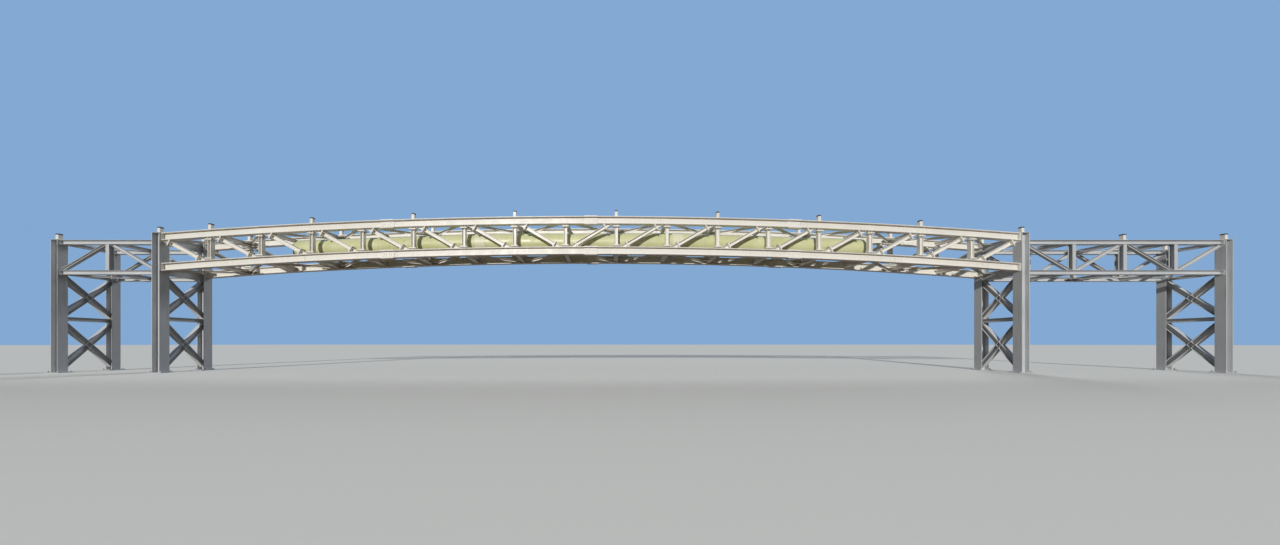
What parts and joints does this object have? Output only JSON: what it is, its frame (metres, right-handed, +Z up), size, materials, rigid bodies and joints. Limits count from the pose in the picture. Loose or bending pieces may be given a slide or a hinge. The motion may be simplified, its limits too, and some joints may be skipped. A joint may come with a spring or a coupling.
{
  "type": "steel pipe bridge, 1:2 scale model",
  "caption": "Steel box truss that carries a large pipe over a road between two braced towers, with a lighter approach truss on an end trestle at each side.",
  "frame": {"origin": "on the ground plane, under the middle of the whole bridge", "axes": "+X along the bridge towards the longer approach, +Y across it, +Z up"},
  "size_m": [34.9, 1.28, 4.7983],
  "materials": {
    "white_steel": "warm off-white satin paint",
    "grey_steel": "blue-grey satin paint",
    "pipe": "pale yellow-green filament-wound laminate",
    "pipe_band": "hand-laid laminate over a butt joint",
    "dark_cap": "dark paint"
  },
  "bodies": {
    "root": {"near_bottom_chord": "white_steel", "far_bottom_chord": "white_steel", "bottom_splices": "white_steel", "near_top_chord": "white_steel", "far_top_chord": "white_steel", "top_splices": "white_steel", "near_verticals": "white_steel", "far_verticals": "white_steel", "near_diagonals": "white_steel", "far_diagonals": "white_steel", "cross_beams": "white_steel", "top_struts": "white_steel", "bottom_bracing": "white_steel", "top_bracing": "white_steel", "posts": "white_steel", "left_tower_near_leg": "grey_steel", "left_tower_far_leg": "grey_steel", "left_tower_beams": "grey_steel", "left_tower_bracing": "grey_steel", "right_tower_near_leg": "grey_steel", "right_tower_far_leg": "grey_steel", "right_tower_beams": "grey_steel", "right_tower_bracing": "grey_steel", "left_trestle_near_leg": "grey_steel", "left_trestle_far_leg": "grey_steel", "left_trestle_beams": "grey_steel", "left_trestle_bracing": "grey_steel", "right_trestle_near_leg": "grey_steel", "right_trestle_far_leg": "grey_steel", "right_trestle_beams": "grey_steel", "right_trestle_bracing": "grey_steel", "left_approach_near_side": "grey_steel", "left_approach_far_side": "grey_steel", "left_approach_floor_beams": "grey_steel", "left_approach_top_struts": "grey_steel", "left_approach_bracing": "grey_steel", "right_approach_near_side": "grey_steel", "right_approach_far_side": "grey_steel", "right_approach_floor_beams": "grey_steel", "right_approach_top_struts": "grey_steel", "right_approach_bracing": "grey_steel", "pipe_left": "pipe", "pipe_middle": "pipe", "pipe_right": "pipe", "pipe_joints": "pipe_band", "pipe_saddles": "grey_steel", "post_caps": "dark_cap"}
  },
  "joints": []
}
